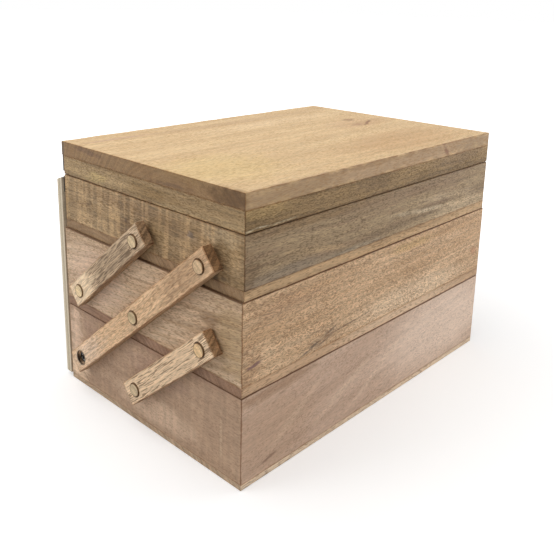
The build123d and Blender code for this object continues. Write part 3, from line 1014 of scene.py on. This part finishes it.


def arm_looks():
    """The wood of each arm, as arguments of wood(). The marks are those of the left arms."""
    open_hole = PIVOTS["long_arm"][0]
    return {
        "long_arm": {
            "light": tone(234, 197, 156),
            "dark": tone(212, 174, 134),
            "pore": tone(130, 94, 64),
            "contrast": 0.6,
            "fine_depth": 0.16,
            "cut_tint": (0.34, 0.28, 0.22, 1),
            "pores": 0.75,
            "pore_size": (5.0, 0.64),
            "pore_depth": 0.4,
            "marks": [
                under_arm("long_arm", 300),
                on_arm(64, 38.5, 44, 14, tone(234, 208, 184), 0.6, edge=0.2),
                on_arm(-56, 136.5, 46, 14, tone(190, 154, 118), 0.8, edge=0.4),
                # Painted shade inside and round the open hole in the foot
                disc(LEFT_ARM_FACE, open_hole, 3, OPEN_HOLE_RADIUS, tone(58, 50, 44), 0.95, edge=0.82),
            ],
        },
        "lower_arm": {
            "light": tone(244, 213, 176),
            "dark": tone(224, 192, 156),
            "pore": tone(104, 76, 52),
            "cut_tint": (0.45, 0.36, 0.28, 1),
            "pores": 0.75,
            "pore_size": (11.0, 0.72),
            "pore_depth": 0.66,
            "fine_depth": 0.14,
            "marks": [under_arm("lower_arm", 200)],
        },
        "upper_arm": {
            "light": tone(219, 190, 156),
            "dark": tone(187, 158, 126),
            "pore": tone(90, 70, 52),
            "cut_tint": (0.50, 0.44, 0.38, 1),
            "pores": 1.0,
            "pore_size": (9.0, 0.72),
            "pore_depth": 0.62,
            "fine_depth": 0.16,
            "marks": [
                under_arm("upper_arm", 200),
                on_arm(68, 90.5, 30, 14, tone(246, 218, 182), 0.9, edge=0.6, fills=0.85),
                on_arm(22, 128, 46, 14, tone(172, 146, 116), 0.75, edge=0.4),
            ],
        },
    }


# Of the plugs over each arm's two upper pivots. The hole in the long arm's foot is open.
PLUG_TONES = {
    "long_arm": (tone(202, 178, 138), tone(218, 186, 146)),
    "lower_arm": (tone(208, 184, 148), tone(230, 194, 146)),
    "upper_arm": (tone(240, 212, 166), tone(218, 192, 152)),
}


def dress_plugs(arm, node, face, seed):
    """The plugs of one arm, cut across the grain, with painted shade of the gap as a dark ring round
    each.
    """
    marks = []
    for pivot, colour in zip(PIVOTS[arm][-2:], PLUG_TONES[arm]):
        marks += [
            disc(face, pivot, 0.3, PLUG_RING_RADIUS, GAP_SHADE, 0.95, edge=0.9, ragged=0.03),
            disc(face, pivot, 0.4, PLUG_RADIUS, colour, 1.0, edge=0.9, ragged=0.03),
        ]
    paint(node, wood(
        node,
        tone(186, 158, 120),
        tone(164, 136, 100),
        tone(96, 72, 50),
        seed=seed,
        band=4.0,
        pores=0.3,
        cut_tint=WHITE,
        cut_depth=0.08,
        # Painted shade: the sides of the plugs, which stand out of the arm, are darkened
        side_tint=(0.62, 0.52, 0.43, 1),
        marks=marks,
    ))


def dress_arms():
    sides = (
        ("left", LEFT_ARM_FACE, LEFT_PLUG_FACE, 51.0),
        ("right", -LEFT_ARM_FACE, -LEFT_PLUG_FACE, 61.0),
    )
    for side, face, plug_face, first_seed in sides:
        for number, (arm, look) in enumerate(arm_looks().items()):
            node = f"{arm}_{side}"
            seed = first_seed + number
            own_marks = look["marks"] if side == "left" else []
            # Painted shade round each pivot's plug or hole, on the arm's face
            rim_shades = [disc(face, pivot, 3, RIM_RADIUS, GAP_SHADE, 0.85, edge=0.86) for pivot in PIVOTS[arm]]
            look.update(grain="arm", seed=seed, band=7.0, cut_depth=0.2, marks=own_marks + rim_shades)
            paint(node, wood(node, **look))
            dress_plugs(arm, node + "_plugs", plug_face, seed + 0.5)


def dress_hardware():
    steel = metal("darkened_steel", tone(70, 68, 68), tone(176, 174, 170), 0.34, 1.0)
    bright = metal("plain_steel", tone(150, 150, 150), tone(190, 190, 188), 0.35, 1.0)
    black = metal("black_steel", tone(24, 24, 26), tone(64, 60, 56), 0.5, 0.0)
    for node in NODES:
        if node.startswith("hinge_"):
            paint(node, black)
        elif node.endswith("_screws"):
            paint(node, steel)
        elif node.endswith("_washers"):
            paint(node, bright)


def dress_support_board():
    layers = (tone(220, 206, 182), tone(202, 186, 160), tone(196, 182, 156))
    paint("support_board", plywood("support_board", "Y", *layers))


# --- Stage, light and camera -------------------------------------------------------------------------


def make_floor():
    """A wide pale floor that keeps the box's soft shadow and fades to plain white further out."""
    mesh = bpy.data.meshes.new("floor")
    form = bmesh.new()
    bmesh.ops.create_grid(form, x_segments=1, y_segments=1, size=FLOOR_REACH)
    form.to_mesh(mesh)
    form.free()
    floor = bpy.data.objects.new("floor", mesh)
    bpy.context.scene.collection.objects.link(floor)
    floor.location.z = -FLOOR_DROP * MM
    graph = material_graph("floor")
    glow = graph.span(graph.length(graph.place()), *FLOOR_GLOW, *FLOOR_GLOW_LEVELS)
    mesh.materials.append(graph.finish(
        Base_Color=tone(232, 232, 232),
        Roughness=0.9,
        Specular_IOR_Level=0.0,
        Emission_Color=WHITE,
        Emission_Strength=graph.math("MULTIPLY", graph.shown(), glow),
    ))


def make_world():
    """Surroundings that look white and light the box less than white would."""
    world = bpy.data.worlds.new("studio")
    bpy.context.scene.world = world
    graph = Graph(world)
    background = graph.tree.nodes["Background"].inputs
    graph.feed(background["Color"], WHITE)
    graph.feed(background["Strength"], graph.span(graph.shown(), 0.0, 1.0, SKY_LEVEL, 1.0))


def make_lamp(name, place, target, size, power):
    lamp = bpy.data.lights.new(name, "AREA")
    lamp.shape = "SQUARE"
    lamp.size = size
    lamp.energy = power
    rig = bpy.data.objects.new(name, lamp)
    bpy.context.scene.collection.objects.link(rig)
    rig.location = place
    rig.rotation_euler = (Vector(target) - Vector(place)).to_track_quat("-Z", "Y").to_euler()


def make_camera():
    data = bpy.data.cameras.new("camera")
    camera = bpy.data.objects.new("camera", data)
    bpy.context.scene.collection.objects.link(camera)
    yaw, pitch, roll = (math.radians(a) for a in (CAMERA_YAW, CAMERA_PITCH, CAMERA_ROLL))
    level = math.cos(pitch)
    forward = Vector((level * math.cos(yaw), level * math.sin(yaw), math.sin(pitch)))
    level_right = forward.cross(Vector((0, 0, 1))).normalized()
    level_up = level_right.cross(forward)
    right = level_right * math.cos(roll) + level_up * math.sin(roll)
    up = level_up * math.cos(roll) - level_right * math.sin(roll)
    turn = Matrix((right, up, -forward)).transposed()
    camera.matrix_world = Matrix.Translation(CAMERA_PLACE) @ turn.to_4x4()
    data.sensor_width = SENSOR_WIDTH
    data.lens = FOCAL_LENGTH / PHOTO_SIDE * SENSOR_WIDTH
    data.shift_y = (PRINCIPAL_ROW - PHOTO_SIDE / 2) / PHOTO_SIDE
    data.clip_start = 0.01
    data.clip_end = 100.0
    bpy.context.scene.camera = camera


dress_lid_board()
dress_lid_rim()
dress_top_tray()
dress_middle_tray()
dress_base()
dress_arms()
dress_hardware()
dress_support_board()
make_floor()
make_world()
for name, values in LAMPS.items():
    make_lamp(name, *values)
make_camera()
bpy.context.scene.view_settings.view_transform = "Standard"
